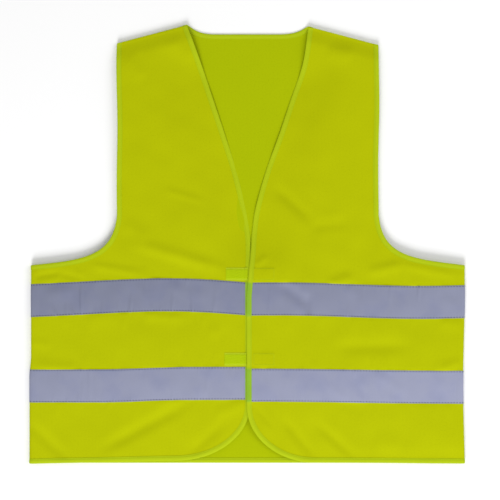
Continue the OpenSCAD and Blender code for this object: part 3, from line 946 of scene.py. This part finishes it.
def patch_object(name, u0, middle, lift, side, face, material):
    """A patch of tape from u0 on, thicker between its selvedges, where a fine random pile stands."""
    across_u = np.linspace(0, patch_cut, 56)[None, :]
    up = np.linspace(-patch_w / 2, patch_w / 2, 34)[:, None]
    u, v = u0 + across_u + 0 * up, middle + up + 0 * across_u
    inside = smooth(patch_w / 2 - np.abs(up), selvedge_w - 0.5 * mm, selvedge_w + 0.8 * mm) + 0 * across_u
    ends = smooth(np.minimum(across_u, patch_cut - across_u), 0, 0.9 * mm) + 0 * up
    fuzz = 0.16 * mm * swell(u, v, 71, 2.4 * mm) * inside
    base = cloth_t / 2 + 0.05 * mm + lift(u)
    top = base + 0.3 * mm + (0.4 * mm * inside + fuzz) * ends
    low, high = (place(u, v, face * h, "front", side)[0] for h in (base, top))
    return sheet_object(name, low, high, np.stack([u, v], -1), material, selvedge=1 - inside)


def box_rows(u0, middle, lift, side, faces):
    """The stitches of a box sewn round a patch, 1.4 mm in from its edges."""
    in_by = 1.4 * mm
    a, b = u0 + in_by, u0 + patch_cut - in_by
    c, d = middle - patch_w / 2 + in_by, middle + patch_w / 2 - in_by
    rows = []
    for line in ([[a, c], [b, c]], [[b, c], [b, d]], [[b, d], [a, d]], [[a, d], [a, c]]):
        spots = resampled(np.array(line), 2.4 * mm)[0]
        for face, h in faces:
            points, normal = place(spots[:, 0], spots[:, 1], h + face * lift(spots[:, 0]), "front", side)
            rows.append(row_frames(points, normal * face))
    return rows


def over_binding(u):
    """A loop patch's end climbs over the right front's binding."""
    edge = -edge_out["right"] - bind_w
    return 0.72 * mm * smooth(u, edge - 1.5 * mm, edge + 1 * mm)


def flat_on(u):
    """A hook patch lies flat on the cloth."""
    return 0 * u


loop_rows, hook_rows, hooks = [], [], []
for which, (shift, rise) in patch_settled.items():
    middle = patch_y[which] + rise
    u0 = -33 * mm + shift
    piece = patch_object(which + "_loop_tape", u0, middle, over_binding, "right", 1, pile)
    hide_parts(which + "_loop_patch")
    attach(piece, "right_front")
    loop_rows += box_rows(u0, middle, over_binding, "right", [(1, cloth_t / 2 + 0.42 * mm)])

    u0 = hook_u - patch_cut / 2
    piece = patch_object(which + "_hook_tape", u0, middle, flat_on, "left", -1, hook_tape)
    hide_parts(which + "_hook_patch")
    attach(piece, "left_front")
    hook_rows += box_rows(u0, middle, flat_on, "left",
                          [(1, cloth_t / 2 + 0.04 * mm), (-1, -cloth_t / 2 - 0.42 * mm)])
    u, v = np.meshgrid(u0 + np.arange(2.6, 31.5, 1.35) * mm, middle + np.arange(-6.8, 7, 1.35) * mm)
    points, normal = place(u.ravel(), v.ravel(), -cloth_t / 2 - 1.25 * mm, "front", "left")
    lean = normal * -1 + np.array([0.0, 0.5, 0.0])
    hooks.append((points, lean / np.linalg.norm(lean, axis=-1, keepdims=True), np.cross(normal, lean)))

for name, rows, length, width, material, body, node_name, finish in (
        ("loop_tape_stitches", loop_rows, 2.0 * mm, 0.4 * mm, yellow_thread, "right_front",
         "loop_patch_stitching", "thread"),
        ("hook_tape_stitches", hook_rows, 2.0 * mm, 0.4 * mm, yellow_thread, "left_front",
         "hook_patch_stitching", "thread"),
        ("hooks", hooks, 1.1 * mm, 0.32 * mm, hook_tape, "left_front", None, "hook_tape")):
    row = stitches_object(name, rows, length, width, material, height=1.0)
    if node_name:
        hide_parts(node_name)
    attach(row, body)


# The seam allowances: the two layers' edges, overlocked together and pressed towards the front
# inside each side fold and shoulder fold, wrapped by a zigzag of yellow thread.
def allowance(name, start, end, into, layer, side, cad_node):
    """An overlocked strip between two pattern points, seam_w wide into the front, and its thread.
    Its section is a hairpin whose bend is the seam: two layers lying on one another."""
    length = float(np.linalg.norm(end - start))
    count = int(length / (2.2 * mm))
    along = np.linspace(0, 1, count)[:, None]
    w = np.array([1, 0.75, 0.5, 0.25, 0.06, -0.03, 0.06, 0.25, 0.5, 0.75, 1])
    outer = np.array([0.08] * 4 + [0.12, 0.42, 0.72] + [0.78] * 4) * mm
    inner = np.array([0.39] * 4 + [0.40, 0.42, 0.44] + [0.45] * 4) * mm
    ripple = 0.07 * mm * np.cos(np.arange(count) * np.pi)[:, None] * np.clip(w, 0, 1)
    grids = []
    for depth, wide in ((inner, np.maximum(w, 0.03)), (outer, w)):
        out = start[0] + (end - start)[0] * along + into[0] * seam_w * wide
        v = start[1] + (end - start)[1] * along + into[1] * seam_w * wide
        grids.append(place(signs[side] * out, v, -cloth_t / 2 - depth + ripple, layer, side)[0])
    girth = seam_w * np.concatenate([[0], np.cumsum(np.abs(np.diff(w)))])
    uv = np.stack(np.broadcast_arrays(along * length, girth), -1)
    piece = sheet_object(name, *grids, uv, knit)
    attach(piece, "shell")
    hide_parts(cad_node)
    zig = (np.arange(count) % 2) * 0.72 + 0.22
    share = np.linspace(0.004, 0.996, count)
    out = start[0] + (end - start)[0] * share + into[0] * seam_w * zig
    v = start[1] + (end - start)[1] * share + into[1] * seam_w * zig
    points, normal = place(signs[side] * out, v, -cloth_t / 2 - 0.86 * mm, layer, side)
    row = stitches_object(name + "_overlock", [row_frames(points, -normal)], 5.6 * mm, 0.4 * mm,
                          yellow_thread)
    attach(row, "shell")


clear = 9 * mm
for side in ("right", "left"):
    allowance(side + "_side_allowance", np.array([fold_u, hem_y + clear]),
              np.array([fold_u, underarm_y - clear]), (-1, 0), "front", side, side + "_side_seam")
    neck, tip = shoulders[side]
    run = (tip - neck) / np.linalg.norm(tip - neck)
    down = np.array([run[1], -run[0]])
    allowance(side + "_shoulder_allowance", neck + run * clear + down * fold_r,
              tip - run * clear + down * fold_r, down, "front", side, side + "_shoulder_seam")


# The care label: a blank white satin ribbon, folded and held by one end in the left side seam.
label_low, label_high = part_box("care_label")
satin, satin_shader = new_material("label_satin", 0.4, 0.1)
where = node(satin, "ShaderNodeUVMap", uv_map="cloth").outputs["UV"]
# Painted sheen: the satin's floats painted as faint lighter and darker bands of white in its colour.
floats = node(satin, "ShaderNodeTexWave", Vector=where, Scale=500.0, bands_direction="Y")
satin_painted_sheen = mixed(satin, floats.outputs["Fac"], (0.80, 0.80, 0.79, 1), (0.88, 0.88, 0.87, 1))
satin.node_tree.links.new(satin_painted_sheen, satin_shader.inputs["Base Color"])
u = np.linspace(label_high.x, label_low.x, 30)[:, None]
v = np.linspace(label_low.y, label_high.y, 24)[None, :]
free = (label_high.x - u) / (label_high.x - label_low.x)
hang = -cloth_t / 2 - (1.1 + 1.7 * free ** 2 + 0.25 * np.sin(free * 3 + v * 90) * free) * mm
u, v = u + 0 * v, v + 0 * u
low, high = (place(u, v, h, "front", "left")[0] for h in (hang - 0.2 * mm, hang))
label = sheet_object("care_label_ribbon", low, high, np.stack([u, v], -1), satin)
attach(label, "shell")
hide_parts("care_label")
